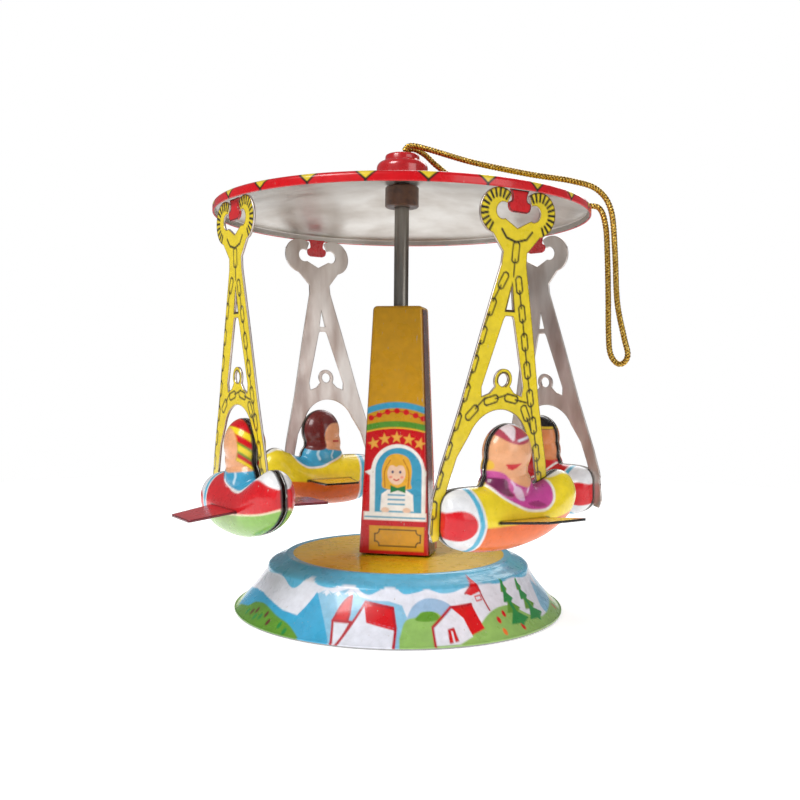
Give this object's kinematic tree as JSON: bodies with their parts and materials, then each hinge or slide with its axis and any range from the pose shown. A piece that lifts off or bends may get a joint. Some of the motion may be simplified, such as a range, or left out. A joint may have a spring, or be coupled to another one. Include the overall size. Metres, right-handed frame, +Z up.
{
  "type": "wind up tin toy",
  "caption": "Miniature tin carousel: rocket cars with riders swing from a canopy on a shaft above a ticket tower on a pressed round base, with a hanging cord.",
  "frame": {"origin": "centre of the base's foot ring, on the surface that the toy stands on", "axes": "+Z up along the carousel's shaft; -Y out of the tower's printed front; +X to the right of it. The rockets hang on the diagonals"},
  "size_m": [0.0821, 0.0789, 0.0919],
  "materials": {
    "base_lacquer": "gloss lithograph",
    "tower_lacquer": "gloss lithograph",
    "canopy_lacquer": "gloss lithograph outside, bare tin inside",
    "hanger_lacquer": "gloss lithograph outside, bare tin inside",
    "bare_tin": "bright tinplate",
    "red_lacquer": "gloss",
    "yellow_lacquer": "gloss",
    "orange_lacquer": "gloss",
    "brown_lacquer": "satin",
    "steel": "satin",
    "spring_steel": "blued",
    "brass": "satin",
    "gold_cord": "metallic twist"
  },
  "bodies": {
    "stand": {"base_shell": "base_lacquer", "base_bottom_plate": "bare_tin", "tower_front_shell": "tower_lacquer", "tower_back_cover": "red_lacquer", "shaft_bushing": "brass", "front_movement_plate": "brass", "rear_movement_plate": "brass", "pillar_lower_left": "steel", "pillar_lower_right": "steel", "pillar_upper_left": "steel", "pillar_upper_right": "steel", "footstep_bearing": "brass", "mainspring": "spring_steel"},
    "carousel": {"carousel_shaft": "steel", "shaft_pinion": "brass", "shaft_retaining_ring": "steel", "shaft_collar": "brown_lacquer", "canopy": "canopy_lacquer", "top_cap": "red_lacquer", "hanging_cord": "gold_cord"},
    "winding": {"winding_arbor": "steel", "winding_key": "steel", "ratchet_washer": "spring_steel"},
    "great_wheel_body": {"great_wheel": "brass"},
    "crown_arbor_body": {"crown_arbor": "steel", "crown_pinion": "brass", "crown_wheel": "brass"},
    "swing_front_right": {"hanger_front_right": "hanger_lacquer", "rocket_outer_shell_front_right": "yellow_lacquer", "rocket_inner_shell_front_right": "yellow_lacquer", "wing_plate_front_right": "orange_lacquer"},
    "swing_back_right": {"hanger_back_right": "hanger_lacquer", "rocket_outer_shell_back_right": "red_lacquer", "rocket_inner_shell_back_right": "red_lacquer", "wing_plate_back_right": "red_lacquer"},
    "swing_back_left": {"hanger_back_left": "hanger_lacquer", "rocket_outer_shell_back_left": "yellow_lacquer", "rocket_inner_shell_back_left": "yellow_lacquer", "wing_plate_back_left": "orange_lacquer"},
    "swing_front_left": {"hanger_front_left": "hanger_lacquer", "rocket_outer_shell_front_left": "red_lacquer", "rocket_inner_shell_front_left": "red_lacquer", "wing_plate_front_left": "red_lacquer"}
  },
  "joints": [
    {"name": "carousel_spin", "type": "hinge", "parent": "stand", "child": "carousel", "pos_m": [0, 0, 0.04], "axis": [0, 0, 1], "continuous": true},
    {"name": "key_wind", "type": "hinge", "parent": "stand", "child": "winding", "pos_m": [0, 0, 0.021], "axis": [0, 1, 0], "range_deg": [0, 1080]},
    {"name": "great_wheel_spin", "type": "hinge", "parent": "stand", "child": "great_wheel_body", "pos_m": [0, -0.0024, 0.021], "axis": [0, 1, 0], "continuous": true},
    {"name": "crown_arbor_spin", "type": "hinge", "parent": "stand", "child": "crown_arbor_body", "pos_m": [0, 0, 0.0274], "axis": [0, 1, 0], "continuous": true},
    {"name": "swing_front_right", "type": "hinge", "parent": "carousel", "child": "swing_front_right", "pos_m": [0.02517, -0.02517, 0.0752], "axis": [-0.7071, -0.7071, 0], "range_deg": [-6, 58]},
    {"name": "swing_back_right", "type": "hinge", "parent": "carousel", "child": "swing_back_right", "pos_m": [0.02517, 0.02517, 0.07475], "axis": [0.8387, -0.5446, 0], "range_deg": [-10, 50]},
    {"name": "swing_back_left", "type": "hinge", "parent": "carousel", "child": "swing_back_left", "pos_m": [-0.02517, 0.02517, 0.0752], "axis": [0.7071, 0.7071, 0], "range_deg": [-6, 58]},
    {"name": "swing_front_left", "type": "hinge", "parent": "carousel", "child": "swing_front_left", "pos_m": [-0.02517, -0.02517, 0.0752], "axis": [-0.7071, 0.7071, 0], "range_deg": [-6, 58]}
  ],
  "couplings": [
    {"joint": "crown_arbor_spin", "follows": "carousel_spin", "ratio": -0.44444},
    {"joint": "great_wheel_spin", "follows": "carousel_spin", "ratio": 0.14815}
  ]
}
